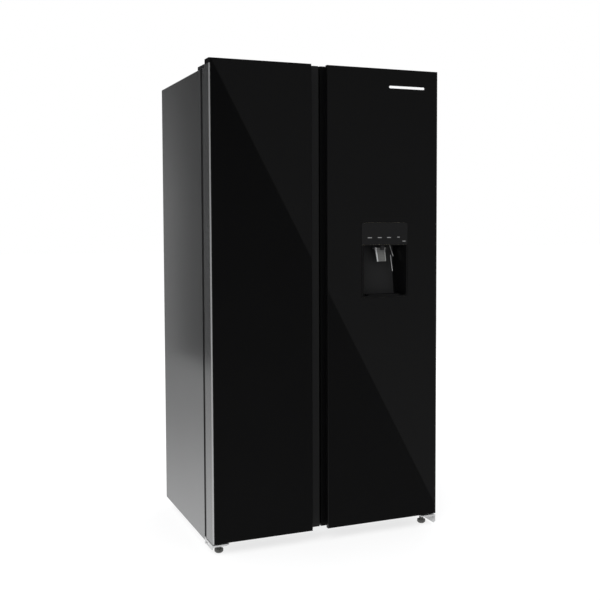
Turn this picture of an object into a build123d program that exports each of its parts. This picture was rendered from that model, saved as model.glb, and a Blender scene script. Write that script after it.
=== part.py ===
from build123d import *
import math
import os

# Side by side refrigerator, freezer door on the left, fridge door with a water dispenser on the right.
# Millimetres. +X is the viewer's right, the doors face -Y, +Z is up.
# The origin is on the floor, at mid width and mid depth.

# Overall sizes
WIDTH = 910
HEIGHT = 1760
DEPTH = 676
PROUD = 1                 # badge and dispenser fascia stand out of the glass
DOOR_DEPTH = 88
SEAL_GAP = 16
SEAL_INSET = 9
DOOR_BOTTOM = 48
CABINET_TOP = 1736
CABINET_BOTTOM = 33

# Sheet and wall thicknesses
STEEL = 1.5
PLASTIC = 2
GLASS = 4

# Doors
FREEZER_GLASS = 385       # width of each glass front
FRIDGE_GLASS = 463
SPLIT_X = -24             # where the two door bodies meet, and the gap between them
SPLIT_GAP = 6
CHANNEL_DEPTH = 37        # finger channel between the glass fronts
GRIP_LIP = 16             # depth of the glass edge that the fingers pull on
GRIP_UNDERCUT = 16
DIKE_HEIGHT = 45          # raised frame of the door liner that holds the bins
DIKE_WIDTH = 25
NUB = (9, 24, 8)          # moulded nub under each end of a bin: reach, depth, height
GLASS_MARGIN = 3          # trim around the glass
EDGE_TRIM = 4.8           # chamfered bright edge on the hinge side of each door

# Hinges: the axis is set in from the door's side and from its rear face
HINGE_INSET = 14
HINGE_BACKSET = 14
PIN_R = 5
BORE_R = 5.08
POCKET = (40, 38, 27)     # hinge pocket in the door top: width, depth, height
BRACKET_T = 4

# Cabinet
FLANGE = 40               # turned-in front edge of the steel wrap
RAIL_TOP = 80             # lower cross rail
STRIP = (-50, 0)          # steel strip between the compartments, X
FREEZER_ROOM = (-398, -58)
FRIDGE_ROOM = (8, 398)
ROOM_Z = (94, 1682)
ROOM_BACK = 276
ROOM_STEP = (50, 330)     # back wall and top of the step over the machine room: Y, Z
MACHINE_FRONT = 95
MACHINE_TOP = 260
BASE_TOP = 36
PANEL_INSET = 5

# Inside fittings
SHELF_Z = (800, 1060, 1320)
COVER_Z = 548
SHELF_FRONT = -130
LEDGE = (8, 8)            # width and height of the moulded ledges
AIR_COVER_Y = 198
DUCT_DEPTH = 14
DRAWER_FRONT = -125
DRAWER_WALL = 2.5
LOWER_DRAWER_Z = (106, 300)
UPPER_DRAWER_Z = (345, 522)
BIN_DEPTH = 98
BIN_HEIGHT = 95
LEFT_BIN_Z = (600, 810, 1020, 1230, 1450)
RIGHT_BIN_Z = (600, 780, 950, 1290, 1480)

# Dispenser, on the right door
DISPENSER_X = (130, 325)
FASCIA_Z = (1104, 1188)
RECESS_X = (137, 320)
RECESS_Z = (912, 1101)
RECESS_FLARE = 0.54       # each side wall closes in by this much per millimetre of depth
RECESS_DEPTH = (48, 68)   # at the floor and at the ceiling
DISPENSER_MID = 228.5
SPOUT_Y = -314
TUBE_Z = 1117
TANK_X = (62, 345)
TANK_Z = (1096, 1226)
LID_Y = (-212, -164)
PADDLE_Z = 1090

# Places worked out from the sizes above
SIDE = WIDTH / 2
FRONT = -DEPTH / 2
BACK = DEPTH / 2
GLASS_Y = FRONT + PROUD
DOOR_REAR = GLASS_Y + DOOR_DEPTH
FACE = DOOR_REAR + SEAL_GAP
LEDGE_Y = GLASS_Y + CHANNEL_DEPTH
PADDLE_Y = GLASS_Y + 42
HINGE_X = SIDE - HINGE_INSET
HINGE_Y = DOOR_REAR - HINGE_BACKSET
POCKET_FLOOR = HEIGHT - POCKET[2]
PANEL_Y = BACK - PANEL_INSET
FLANGE_TOP = CABINET_TOP - FLANGE
DIKE_Z = (565, ROOM_Z[1] - 10)
FOOT = (418, -285)
FOOT_PAD = (16, 14)        # radius and height of a foot's pad
SKIRT_LOW = {-1: 24, 1: 6} # underside of the lower brackets' outer skirts, left and right
SKIRT_SLOT = ((-284, -246), (27, 34.5))
ROLLER = (400, 290)
COMPRESSOR = (-250, 215)
CONDENSER_FAN = (215, 140)
EVAPORATOR_FAN = (-228, 1010)
BRACKET_SCREW_X = (393, 410, 427)
BRACKET_SCREW_Y = -212
COVER_SCREWS = [(x, z) for z in (46, 268) for x in (-420, -140, 140, 420)]

os.makedirs("parts", exist_ok=True)


def block(x, y, z):
    """A box from three (low, high) pairs."""
    spans = [sorted(pair) for pair in (x, y, z)]
    centre = [(low + high) / 2 for low, high in spans]
    size = [high - low for low, high in spans]
    return Pos(*centre) * Box(*size)


def bar(radius, start, end):
    """A round bar between two points."""
    run = Vector(*end) - Vector(*start)
    plane = Plane(origin=start, z_dir=run)
    return plane * Cylinder(radius, run.length, align=(Align.CENTER, Align.CENTER, Align.MIN))


def round_upright(solid, radius):
    """Round the edges that run along Z."""
    return fillet(solid.edges().filter_by(Axis.Z), radius)


def ring(x, y, z, width):
    """An upright rectangular frame in the XZ plane."""
    hole = block((x[0] + width, x[1] - width), (y[0] - 1, y[1] + 1), (z[0] + width, z[1] - width))
    return block(x, y, z) - hole


def save(name, *solids):
    """Write one sub-part, of one solid or of a group of separate solids."""
    shapes = [piece for solid in solids for piece in solid.solids()]
    shape = shapes[0] if len(shapes) == 1 else Compound(children=shapes)
    shape.label = name
    export_step(shape, f"parts/{name}.step")


# ---- Cabinet ----

def bracket_screws(side):
    return [(side * x, BRACKET_SCREW_Y) for x in BRACKET_SCREW_X]


def screw_holes():
    """Clearance holes for every cabinet screw."""
    top = [bar(2.3, (x, y, CABINET_TOP - 9), (x, y, CABINET_TOP + 5))
           for side in (-1, 1) for x, y in bracket_screws(side)]
    rear = [bar(2.3, (x, PANEL_Y - 9, z), (x, BACK, z)) for x, z in COVER_SCREWS]
    return Compound(children=top + rear)


def screws():
    """Pan-head screws: three in each upper hinge bracket and eight in the machine cover."""
    made = []
    for side in (-1, 1):
        for x, y in bracket_screws(side):
            top = CABINET_TOP + BRACKET_T
            made.append(bar(2.2, (x, y, top - 12), (x, y, top)) + bar(4.5, (x, y, top), (x, y, top + 2.4)))
    for x, z in COVER_SCREWS:
        rear = PANEL_Y + 2 * STEEL
        made.append(bar(2.2, (x, rear - 10, z), (x, rear, z)) + bar(4.5, (x, rear, z), (x, rear + 1.8, z)))
    return made


def cabinet_shell():
    """Steel wrap over both sides and the top, with its front edge turned in."""
    outer = block((-SIDE, SIDE), (FACE, BACK), (CABINET_BOTTOM, CABINET_TOP))
    outer = fillet(outer.edges().filter_by(Axis.Y).group_by(Axis.Z)[-1], 5)
    inner = block((STEEL - SIDE, SIDE - STEEL), (FACE + STEEL, BACK + 1), (0, CABINET_TOP - STEEL))
    inner = fillet(inner.edges().filter_by(Axis.Y).group_by(Axis.Z)[-1], 5 - STEEL)
    mouth = block((FLANGE - SIDE, SIDE - FLANGE), (FACE - 1, FACE + STEEL + 1), (0, FLANGE_TOP))
    return outer - inner - mouth - screw_holes()


def back_panel():
    """Folded sheet: the beaded back, then the ceiling and front wall of the machine room."""
    x = (STEEL - SIDE, SIDE - STEEL)
    sheet = block(x, (PANEL_Y, PANEL_Y + STEEL), (MACHINE_TOP, CABINET_TOP - STEEL))
    sheet = fillet(sheet.edges().filter_by(Axis.Y).group_by(Axis.Z)[-1], 5 - STEEL)
    sheet += block(x, (MACHINE_FRONT, PANEL_Y + STEEL), (MACHINE_TOP, MACHINE_TOP + STEEL))
    sheet += block(x, (MACHINE_FRONT, MACHINE_FRONT + STEEL), (BASE_TOP, MACHINE_TOP + STEEL))
    for bead_x in range(-360, 361, 120):
        bead = bar(7, (bead_x, PANEL_Y - 3.5, 340), (bead_x, PANEL_Y - 3.5, 1660))
        sheet += bead & block((-SIDE, SIDE), (PANEL_Y + 0.5, BACK), (300, 1700))
    return sheet - screw_holes()


def room_space(room, grow):
    """The space inside one compartment, over the machine-room step, grown on every wall."""
    x = (room[0] - grow, room[1] + grow)
    step_y, step_z = ROOM_STEP
    upper = block(x, (FACE - 5, ROOM_BACK + grow), (step_z - grow, ROOM_Z[1] + grow))
    upper = fillet(upper.edges().filter_by(Axis.Y).group_by(Axis.Z)[-1], 14 + grow)
    lower = block(x, (FACE - 5, step_y + grow), (ROOM_Z[0] - grow, step_z + 40))
    lower = fillet(lower.edges().filter_by(Axis.Y).group_by(Axis.Z)[0], 14 + grow)
    return upper + lower


def room_rear(room):
    """How far back the shelves of a compartment reach."""
    return AIR_COVER_Y - 4 if room == FREEZER_ROOM else ROOM_BACK - DUCT_DEPTH - 4


def ledges(room):
    """Moulded ledges on both walls, under each shelf and drawer rim."""
    width, height = LEDGE
    tops = [(z, room_rear(room)) for z in (*SHELF_Z, COVER_Z)]
    tops += [(UPPER_DRAWER_Z[1] - 4.6, room_rear(room)), (LOWER_DRAWER_Z[1] - 4.6, ROOM_STEP[0] - 4)]
    made = []
    for top, rear in tops:
        for wall, inward in ((room[0], 1), (room[1], -1)):
            rib = block((wall - inward, wall + inward * width), (DRAWER_FRONT + 4, rear), (top - height, top))
            tip = rib.edges().filter_by(Axis.Y).sort_by(Axis.X)[-2:] if inward > 0 else \
                rib.edges().filter_by(Axis.Y).sort_by(Axis.X)[:2]
            made.append(chamfer(tip.sort_by(Axis.Z)[0], 5))
    return made


def liner(room, lip_x):
    """Vacuum-formed tub with a front lip that meets the steel frame."""
    tub = room_space(room, PLASTIC) & block((-SIDE, SIDE), (FACE, BACK), (0, HEIGHT))
    tub += block(lip_x, (FACE, FACE + STEEL), (RAIL_TOP, FLANGE_TOP))
    tub -= room_space(room, 0)
    for rib in ledges(room):
        tub += rib
    return tub


def cabinet_foam():
    """Foamed insulation between the wrap, the back panel and the two tubs."""
    x = (STEEL - SIDE, SIDE - STEEL)
    foam = block(x, (FACE + STEEL, PANEL_Y), (BASE_TOP, CABINET_TOP - STEEL))
    foam = fillet(foam.edges().filter_by(Axis.Y).group_by(Axis.Z)[-1], 5 - STEEL)
    foam -= block((-SIDE, SIDE), (MACHINE_FRONT, BACK), (0, MACHINE_TOP + STEEL))
    for room in (FREEZER_ROOM, FRIDGE_ROOM):
        foam -= room_space(room, PLASTIC)
    return foam - screw_holes()


def front_frame():
    """Steel strip between the compartments, and the lower cross rail."""
    strip = block(STRIP, (FACE, FACE + STEEL), (RAIL_TOP, FLANGE_TOP))
    rail = block((FLANGE - SIDE, SIDE - FLANGE), (FACE, FACE + STEEL), (BASE_TOP, RAIL_TOP))
    return strip + rail


def base_tray():
    """Steel floor with a rear lip, and a fork and axle for each rear roller."""
    x = (STEEL - SIDE, SIDE - STEEL)
    tray = block(x, (FACE + STEEL, PANEL_Y + STEEL), (CABINET_BOTTOM, BASE_TOP))
    tray += block(x, (PANEL_Y, PANEL_Y + STEEL), (CABINET_BOTTOM, 54))
    for side in (-1, 1):
        roller_x, roller_y = side * ROLLER[0], ROLLER[1]
        for ear in (-13, 13):
            centre = roller_x + ear
            plate = block((centre - 1.5, centre + 1.5), (roller_y - 14, roller_y + 14), (8, CABINET_BOTTOM))
            tray += chamfer(plate.edges().filter_by(Axis.X).group_by(Axis.Z)[0], 6)
        tray += bar(4, (roller_x - 15, roller_y, 16), (roller_x + 15, roller_y, 16))
    return tray - screw_holes()


def roller(side):
    """Rear roller on its fork axle."""
    x, y = side * ROLLER[0], ROLLER[1]
    wheel = bar(16, (x - 10, y, 16), (x + 10, y, 16))
    wheel = chamfer(wheel.edges().filter_by(GeomType.CIRCLE), 1.5)
    return wheel - bar(4.08, (x - 12, y, 16), (x + 12, y, 16))


def machine_cover():
    """Louvred sheet over the machine room, with the hole for the cord grommet."""
    rear = PANEL_Y + STEEL
    sheet = block((12 - SIDE, SIDE - 12), (rear, rear + STEEL), (40, 276))
    sheet = fillet(sheet.edges().filter_by(Axis.Y), 6)
    for row in range(7):
        for slot_x in (-350, -240, 40, 150, 260, 370):
            z = 78 + 24 * row
            sheet -= block((slot_x - 40, slot_x + 40), (rear - 1, BACK), (z, z + 7))
    hole = bar(9, (-90, rear - 1, 110), (-90, BACK, 110))
    return sheet - hole - screw_holes()


def cord_gland():
    """Rubber grommet that the mains cord comes out of."""
    rear = PANEL_Y + STEEL
    x, z = -90, 110
    body = bar(8.9, (x, rear - 8, z), (x, rear + STEEL, z)) + bar(12, (x, rear - 3, z), (x, rear, z))
    body += bar(12, (x, rear + STEEL, z), (x, BACK, z))
    return body - bar(4.5, (x, rear - 10, z), (x, BACK + 1, z))


# ---- Refrigeration parts ----

def compressor():
    """Sealed pot on its foot plate, with a terminal box and two pipe stubs."""
    x, y = COMPRESSOR
    pot = fillet(bar(66, (x, y, 53), (x, y, 200)).edges(), 34) + bar(70, (x, y, 122), (x, y, 127))
    plate = round_upright(block((x - 105, x + 105), (y - 62, y + 62), (50, 54)), 14)
    feet = [bar(11, (x + 88 * i, y + 44 * j, BASE_TOP), (x + 88 * i, y + 44 * j, 51))
            for i in (-1, 1) for j in (-1, 1)]
    box = block((x + 58, x + 92), (y - 30, y + 30), (95, 155))
    stubs = bar(5, (x - 25, y, 195), (x - 25, y, 232)) + bar(4, (x + 25, y, 195), (x + 25, y, 225))
    return pot + plate + feet[0] + feet[1] + feet[2] + feet[3] + box + stubs


def fin_coil(x, y, z, rows, fins, tube):
    """Serpentine tube in a stack of fins."""
    mid_y = (y[0] + y[1]) / 2
    pitch = (z[1] - z[0]) / rows
    coil = None
    for row in range(rows):
        level = z[0] + pitch * (row + 0.5)
        run = bar(tube, (x[0], mid_y, level), (x[1], mid_y, level))
        coil = run if coil is None else coil + run
        if row:
            end = x[0] if row % 2 else x[1]
            coil += bar(tube, (end, mid_y, level - pitch - tube), (end, mid_y, level + tube))
    for index in range(fins):
        fin_x = x[0] + 14 + (x[1] - x[0] - 28) * index / (fins - 1)
        coil += block((fin_x - 0.5, fin_x + 0.5), y, z)
    return coil


def fan_rotor(centre, along, hub, tip, depth, blades=5):
    """Hub with pitched blades; along is the axle direction."""
    plane = Plane(origin=centre, z_dir=along)
    rotor = Cylinder(hub, depth, align=(Align.CENTER, Align.CENTER, Align.MIN))
    rotor = fillet(rotor.edges().group_by(Axis.Z)[-1], 2)
    chord = depth / math.sin(math.radians(28)) - 3
    for index in range(blades):
        blade = Pos((tip + hub) / 2 - 2, 0, depth / 2) * Rot(28, 0, 0) * Box(tip - hub + 4, chord, 1.4)
        rotor += Rot(0, 0, 360 * index / blades) * blade
    return plane * rotor


def fan_shroud():
    """Square fan housing with the motor held on three struts."""
    y, z = CONDENSER_FAN
    frame = block((60, 88), (y - 75, y + 75), (z - 75, z + 75))
    frame = fillet(frame.edges().filter_by(Axis.X), 10) - bar(64, (55, y, z), (95, y, z))
    for angle in (90, 210, 330):
        strut = Pos(61.5, 0, 0) * Box(3, 8, 52)
        frame += Pos(0, y, z) * Rot(angle, 0, 0) * (Pos(0, 0, 42) * strut)
    frame += block((60, 88), (y - 60, y + 60), (BASE_TOP, z - 74))
    return frame + bar(20, (60, y, z), (72, y, z))


def drain_tray():
    """Open tray under the condenser where the melt water evaporates."""
    tray = block((120, 400), (180, 290), (BASE_TOP, 56))
    return round_upright(tray, 10) - round_upright(block((122, 398), (182, 288), (BASE_TOP + 2, 60)), 8)


def air_ducts():
    """Air cover of the freezer, with the fan grille, and the slotted duct of the fridge."""
    fan_x, fan_z = EVAPORATOR_FAN
    x, y, z = (-392, -64), (AIR_COVER_Y, ROOM_BACK), (400, 1440)
    cover = block(x, y, z) - block((x[0] + 2, x[1] - 2), (y[0] + 2, y[1] + 1), (z[0] + 2, z[1] - 2))
    cover -= bar(60, (fan_x, y[0] - 1, fan_z), (fan_x, y[0] + 3, fan_z))
    for radius in (26, 38, 50):
        rim = bar(radius + 2, (fan_x, y[0], fan_z), (fan_x, y[0] + 2, fan_z))
        cover += rim - bar(radius - 2, (fan_x, y[0] - 1, fan_z), (fan_x, y[0] + 3, fan_z))
    for angle in (0, 60, 120):
        spoke = Pos(fan_x, y[0] + 1, fan_z) * Rot(0, angle, 0) * Box(122, 2, 4)
        cover += spoke
    cover += bar(18, (fan_x, y[0], fan_z), (fan_x, y[0] + 14, fan_z))
    for slot_z in range(1240, 1400, 24):
        cover -= block((fan_x - 110, fan_x + 110), (y[0] - 1, y[0] + 3), (slot_z, slot_z + 8))
    duct = round_upright(block((150, 256), (ROOM_BACK - DUCT_DEPTH, ROOM_BACK), (420, 1560)), 6)
    duct -= block((153, 253), (ROOM_BACK - DUCT_DEPTH + 3, ROOM_BACK + 1), (423, 1557))
    for slot_z in range(600, 1500, 130):
        duct -= block((168, 238), (ROOM_BACK - 20, ROOM_BACK - DUCT_DEPTH + 4), (slot_z, slot_z + 14))
    return cover, duct


def ceiling_lights():
    """One flat light bar in the ceiling of each compartment."""
    bars = []
    for room in (FREEZER_ROOM, FRIDGE_ROOM):
        mid = sum(room) / 2
        lamp = block((mid - 90, mid + 90), (-150, -118), (ROOM_Z[1] - 5, ROOM_Z[1]))
        bars.append(round_upright(lamp, 8))
    return bars


# ---- Shelves and drawers ----

def glass_shelf(room, level):
    """Tempered glass plate that lies on the ledges."""
    x = (room[0] + 2, room[1] - 2)
    return block(x, (SHELF_FRONT + 4, room_rear(room) - 4), (level, level + GLASS))


def shelf_trim(room, level):
    """Front and rear trims that clip on the glass."""
    glass = glass_shelf(room, level)
    x = (room[0] + 2.5, room[1] - 2.5)
    rear = room_rear(room)
    front = block(x, (SHELF_FRONT, SHELF_FRONT + 16), (level - 6, level + GLASS + 4))
    front = fillet(front.edges().filter_by(Axis.X).group_by(Axis.Y)[0], 3)
    stop = block(x, (rear - 14, rear - 1), (level + GLASS, level + GLASS + 2))
    stop += block(x, (rear - 3, rear - 1), (level, level + GLASS + 22))
    notch = [block((wall - 10, wall + 10), (DRAWER_FRONT, 0), (level - 10, level)) for wall in room]
    return front - glass - notch[0] - notch[1], stop


def drawer(room, z, rear):
    """Open tub with a thick front, a grip on its top edge and two side rims that slide on the ledges."""
    x = (room[0] + 14, room[1] - 14)
    y = (DRAWER_FRONT, rear)
    tub = round_upright(block(x, y, z), 12)
    for rim_x in ((room[0] + 4, x[0] + 2), (x[1] - 2, room[1] - 4)):
        tub += block(rim_x, (y[0] + 6, y[1] - 14), (z[1] - 4, z[1]))
    face = block((room[0] + 5, room[1] - 5), (y[0] - 12, y[0] + 2), (z[0], z[1] + 14))
    face = fillet(face.edges().group_by(Axis.Y)[0], 4)
    tub += face
    inner_x = (x[0] + DRAWER_WALL, x[1] - DRAWER_WALL)
    hollow = block(inner_x, (y[0] + DRAWER_WALL, y[1] - DRAWER_WALL), (z[0] + DRAWER_WALL, z[1] + 30))
    tub -= fillet(hollow.edges().filter_by(Axis.Z), 9.5)
    mid = sum(room) / 2
    scoop = block((mid - 70, mid + 70), (y[0] - 14, y[0] - 3), (z[1] - 12, z[1] + 8))
    return tub - fillet(scoop.edges().filter_by(Axis.Y), 6)


# ---- Doors. Each is described by its hinge side, glass edge, split edge and compartment ----

class Door:
    def __init__(self, name, toward, glass_width, split, room):
        self.name = name
        self.toward = toward                      # direction from the hinge side to the channel
        self.hinge = -toward * SIDE               # outer side of the door
        self.edge = self.hinge + toward * glass_width
        self.split = split
        self.room = room
        self.axis_x = self.hinge + toward * HINGE_INSET

    def outline(self, wall):
        """Plan outline with the finger channel, moved in by the wall on every side but the rear."""
        t = self.toward
        front = GLASS_Y + GLASS + wall
        lip = GLASS_Y + GRIP_LIP - wall
        throat = self.edge - t * (GRIP_UNDERCUT + wall)
        ledge = LEDGE_Y + wall
        corners = [
            (self.hinge + t * wall, front), (self.edge - t * wall, front), (self.edge - t * wall, lip),
            (throat, lip), (throat, ledge), (self.split - t * wall, ledge),
            (self.split - t * wall, DOOR_REAR), (self.hinge + t * wall, DOOR_REAR),
        ]
        face = make_face(Polyline(*corners, close=True))
        grip = [v for v in face.vertices() if abs(v.X - throat) < 0.01]
        return fillet(grip, 6)

    def pocket(self, wall):
        """Space for the upper hinge arm at the rear of the door top."""
        width, depth, height = (size + wall for size in POCKET)
        x = (self.hinge - self.toward * 5, self.hinge + self.toward * width)
        return block(x, (DOOR_REAR - depth, DOOR_REAR + 5), (HEIGHT - height, HEIGHT + 5))

    def bosses(self):
        """Bearing bosses of the two hinge pins."""
        x = self.axis_x
        top = bar(10, (x, HINGE_Y, POCKET_FLOOR - 34), (x, HINGE_Y, POCKET_FLOOR))
        return top + bar(10, (x, HINGE_Y, DOOR_BOTTOM), (x, HINGE_Y, DOOR_BOTTOM + 36))

    def bores(self):
        """Running bores of the hinge pins."""
        x = self.axis_x
        top = bar(BORE_R, (x, HINGE_Y, POCKET_FLOOR - 31), (x, HINGE_Y, HEIGHT))
        return top + bar(BORE_R, (x, HINGE_Y, DOOR_BOTTOM - 1), (x, HINGE_Y, DOOR_BOTTOM + 33))

    def inside(self):
        """Space inside the outer shell."""
        space = extrude(self.outline(PLASTIC), HEIGHT - DOOR_BOTTOM - 2 * PLASTIC)
        return Pos(0, 0, DOOR_BOTTOM + PLASTIC) * space - self.pocket(PLASTIC) - self.bosses()

    def dike_x(self):
        return (self.room[0] + 10, self.room[1] - 10)

    def bin_x(self):
        return (self.dike_x()[0] + DIKE_WIDTH + 1, self.dike_x()[1] - DIKE_WIDTH - 1)


LEFT = Door("left_door", 1, FREEZER_GLASS, SPLIT_X - SPLIT_GAP / 2, FREEZER_ROOM)
RIGHT = Door("right_door", -1, FRIDGE_GLASS, SPLIT_X + SPLIT_GAP / 2, FRIDGE_ROOM)


def dispenser_opening(gap=0):
    """Cut-out for the dispenser through the glass and the front of the shell."""
    x = (DISPENSER_X[0] - gap, DISPENSER_X[1] + gap)
    z = (RECESS_Z[0] - 6 - gap, FASCIA_Z[1] + gap)
    return fillet(block(x, (FRONT - 5, GLASS_Y + GLASS + PLASTIC + 1), z).edges().filter_by(Axis.Y), 8)


def recess(wall):
    """The dispenser recess: flared side walls and a back that leans forward at the floor."""
    mouth = GLASS_Y - 5
    deep = GLASS_Y + RECESS_DEPTH[1] + wall
    taper = RECESS_FLARE * (deep - mouth)
    lead = RECESS_FLARE * 5
    x0, x1 = RECESS_X[0] - wall - lead, RECESS_X[1] + wall + lead
    plan = make_face(Polyline((x0, mouth), (x1, mouth), (x1 - taper, deep), (x0 + taper, deep), close=True))
    z0, z1 = RECESS_Z[0] - wall, RECESS_Z[1] + wall
    space = Pos(0, 0, z0) * extrude(plan, z1 - z0)
    low = GLASS_Y + RECESS_DEPTH[0] + wall
    profile = make_face(Plane.YZ * Polyline((mouth, z0), (low, z0), (deep, z1), (mouth, z1), close=True))
    return space & extrude(profile, 500, both=True)


def door_glass(door):
    """Black back-printed glass front."""
    hinge = door.hinge + door.toward * EDGE_TRIM
    z = (DOOR_BOTTOM + GLASS_MARGIN, HEIGHT - GLASS_MARGIN)
    pane = block((hinge, door.edge), (GLASS_Y, GLASS_Y + GLASS), z)
    pane = fillet(pane.edges().filter_by(Axis.Y), 4)
    pane = chamfer(pane.edges().group_by(Axis.Y)[0], 0.8)
    return pane - dispenser_opening(0.4) if door is RIGHT else pane


def door_shell(door):
    """Outer casing: front sheet, sides, caps, trim around the glass, channel ledge and bearing bosses."""
    body = Pos(0, 0, DOOR_BOTTOM) * extrude(door.outline(0), HEIGHT - DOOR_BOTTOM)
    body -= door.pocket(0)
    trim = block((door.hinge, door.edge), (GLASS_Y + 0.6, GLASS_Y + GLASS), (DOOR_BOTTOM, HEIGHT))
    hinge = door.hinge + door.toward * (EDGE_TRIM - 0.4)
    bed = block((hinge, door.edge + door.toward), (FRONT, GLASS_Y + GLASS),
                (DOOR_BOTTOM + GLASS_MARGIN - 0.4, HEIGHT - GLASS_MARGIN + 0.4))
    body = body + (trim - bed)
    uprights = body.edges().filter_by(Axis.Z)
    outer = [edge for edge in uprights if abs(edge.center().X) > SIDE - 1 and edge.center().Y < GLASS_Y + 1]
    body = chamfer(outer, EDGE_TRIM - 0.6) - door.inside() - door.bores()
    return body - dispenser_opening(0) if door is RIGHT else body


def liner_dike(door, wall):
    """The raised frame of the door liner, moved in by the wall."""
    x, width = door.dike_x(), DIKE_WIDTH - 2 * wall
    frame = ring((x[0] + wall, x[1] - wall), (DOOR_REAR - PLASTIC - 0.01, DOOR_REAR + DIKE_HEIGHT - wall),
                 (DIKE_Z[0] + wall, DIKE_Z[1] - wall), width)
    return frame


def door_liner(door):
    """White inner panel with the raised frame and the nubs that carry the bins."""
    t = door.toward
    x = (door.hinge + t * PLASTIC, door.split - t * PLASTIC)
    z = (DOOR_BOTTOM + PLASTIC, HEIGHT - PLASTIC)
    panel = block(x, (DOOR_REAR - PLASTIC, DOOR_REAR), z) - door.pocket(PLASTIC) - door.bosses()
    frame = liner_dike(door, 0) & block((-SIDE, SIDE), (DOOR_REAR - 0.5, BACK), (0, HEIGHT))
    panel = panel + chamfer(frame.edges().group_by(Axis.Y)[-1], 3) - liner_dike(door, PLASTIC)
    levels = LEFT_BIN_Z if door is LEFT else RIGHT_BIN_Z
    dike_low, dike_high = door.dike_x()
    for level in levels:
        for wall, inward in ((dike_low + DIKE_WIDTH, 1), (dike_high - DIKE_WIDTH, -1)):
            nub_x = (wall - inward, wall + NUB[0] * inward)
            panel += block(nub_x, (DOOR_REAR + 8, DOOR_REAR + 8 + NUB[1]), (level - NUB[2], level))
    return panel - tube_bore() if door is RIGHT else panel


def door_core(door):
    """Foam that fills the door behind the glass."""
    x = (min(door.hinge, door.split), max(door.hinge, door.split))
    core = door.inside() & block(x, (FRONT, DOOR_REAR - PLASTIC), (0, HEIGHT))
    core += liner_dike(door, PLASTIC)
    if door is RIGHT:
        core -= recess(PLASTIC + 1) + tube_bore() + fascia_space()
    return core


def door_gasket(door):
    """Magnetic seal: a soft frame with a groove, one millimetre clear of the cabinet."""
    outer = door.hinge + door.toward * SEAL_INSET
    inner = door.split - door.toward * 5
    x, z = (min(outer, inner), max(outer, inner)), (62, 1722)
    y = (DOOR_REAR, DOOR_REAR + SEAL_GAP - 1)
    seal = ring(x, y, z, 16)
    groove = ring((x[0] - 2, x[1] + 2), (y[0] + 5, y[0] + 9), (z[0] - 2, z[1] + 2), 5.5)
    return seal - groove


def door_bin(door, level):
    """Open bin that hangs on the liner nubs, with a rolled rim."""
    x, y = door.bin_x(), (DOOR_REAR + 1, DOOR_REAR + 1 + BIN_DEPTH)
    tub = block(x, y, (level, level + BIN_HEIGHT))
    tub = fillet(tub.edges().filter_by(Axis.Z).group_by(Axis.Y)[-1], 16)
    hollow = block((x[0] + 2.5, x[1] - 2.5), (y[0] + 2.5, y[1] - 2.5), (level + 2.5, level + BIN_HEIGHT + 5))
    hollow = fillet(hollow.edges().filter_by(Axis.Z).group_by(Axis.Y)[-1], 13.5)
    rail = block((x[0] + 30, x[1] - 30), (y[1] - 1, y[1] + 2), (level + BIN_HEIGHT - 14, level + BIN_HEIGHT))
    return tub + fillet(rail.edges().filter_by(Axis.X).group_by(Axis.Y)[-1], 2) - hollow


# ---- Dispenser and water tank ----

def tube_bore():
    """Passage of the water tube from the tank to the spout."""
    back = bar(7.6, (DISPENSER_MID, SPOUT_Y, TUBE_Z), (DISPENSER_MID, DOOR_REAR + 2, TUBE_Z))
    return back + bar(9, (DISPENSER_MID, SPOUT_Y, RECESS_Z[1] - 6), (DISPENSER_MID, SPOUT_Y, TUBE_Z + 9))


def fascia_space():
    """Room for the control board behind the dispenser fascia."""
    y = (GLASS_Y + GLASS + PLASTIC, GLASS_Y + 14)
    return block((DISPENSER_X[0] + 6, DISPENSER_X[1] - 6), y, (RECESS_Z[1] + 4, FASCIA_Z[1] - 6))


def dispenser_fascia():
    """Touch panel above the recess, with its control board box behind."""
    z = (FASCIA_Z[0] + 0.5, FASCIA_Z[1] - 0.5)
    x = (DISPENSER_X[0] + 0.5, DISPENSER_X[1] - 0.5)
    panel = block(x, (FRONT, GLASS_Y + GLASS), z)
    panel = fillet(panel.edges().filter_by(Axis.Y).group_by(Axis.Z)[-1], 7.5)
    panel = fillet(panel.edges().group_by(Axis.Y)[0], 0.6)
    board = block((x[0] + 9, x[1] - 9), (GLASS_Y + GLASS, GLASS_Y + 12), (z[0] + 22, z[1] - 9))
    return panel + board


def dispenser_housing():
    """Moulded recess with a front frame flush with the glass."""
    x = (DISPENSER_X[0] + 0.5, DISPENSER_X[1] - 0.5)
    frame = block(x, (GLASS_Y + 0.4, GLASS_Y + GLASS + PLASTIC), (RECESS_Z[0] - 5.5, FASCIA_Z[0]))
    frame = fillet(frame.edges().filter_by(Axis.Y).group_by(Axis.Z)[0], 7.5)
    cup = recess(PLASTIC) & block((0, SIDE), (GLASS_Y + 0.4, 0), (0, HEIGHT))
    hole = bar(8, (DISPENSER_MID, SPOUT_Y, RECESS_Z[1] - 2), (DISPENSER_MID, SPOUT_Y, FASCIA_Z[0] + 5))
    lugs = []
    for side in (-1, 1):
        lug_x = DISPENSER_MID + side * 27
        lug_z = (PADDLE_Z - 6, RECESS_Z[1] + 1)
        lugs.append(block((lug_x - 2.5, lug_x + 2.5), (PADDLE_Y - 6, PADDLE_Y + 6), lug_z))
    cup = frame + cup - recess(0) - hole + lugs[0] + lugs[1]
    return cup - bar(2.06, (DISPENSER_MID - 40, PADDLE_Y, PADDLE_Z), (DISPENSER_MID + 40, PADDLE_Y, PADDLE_Z))


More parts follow.
